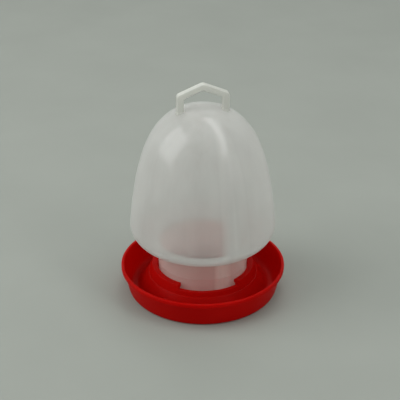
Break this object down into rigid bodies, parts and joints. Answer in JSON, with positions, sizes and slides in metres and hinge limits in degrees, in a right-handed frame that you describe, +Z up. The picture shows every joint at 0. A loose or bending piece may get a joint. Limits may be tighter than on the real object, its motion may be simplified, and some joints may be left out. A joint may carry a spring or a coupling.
{
  "type": "poultry waterer fount",
  "caption": "Vacuum poultry waterer: a translucent domed bottle with a carry loop, its neck locked by a bayonet into the collar of a round red drinking tray.",
  "frame": {"origin": "centre of the tray's underside, on the axis of the bottle", "axes": "+Z up along the axis of the bottle, +X along the carry loop's width, -Y towards the front of the picture's view"},
  "size_m": [0.161, 0.161, 0.2147],
  "materials": {
    "tray_red": "injection-moulded red polypropylene, soft gloss",
    "bottle_milky": "blow-moulded milky translucent polyethylene, satin",
    "handle_cream": "solid milky polyethylene, slightly creamier than the bottle"
  },
  "bodies": {
    "tray": {"drinking_tray": "tray_red"},
    "fount": {"fount_bottle": "bottle_milky", "carry_handle": "handle_cream"}
  },
  "joints": [
    {"name": "bayonet_twist", "type": "hinge", "parent": "tray", "child": "fount", "pos_m": [0, 0, 0.022], "axis": [0, 0, 1], "range_deg": [0, 70]}
  ]
}
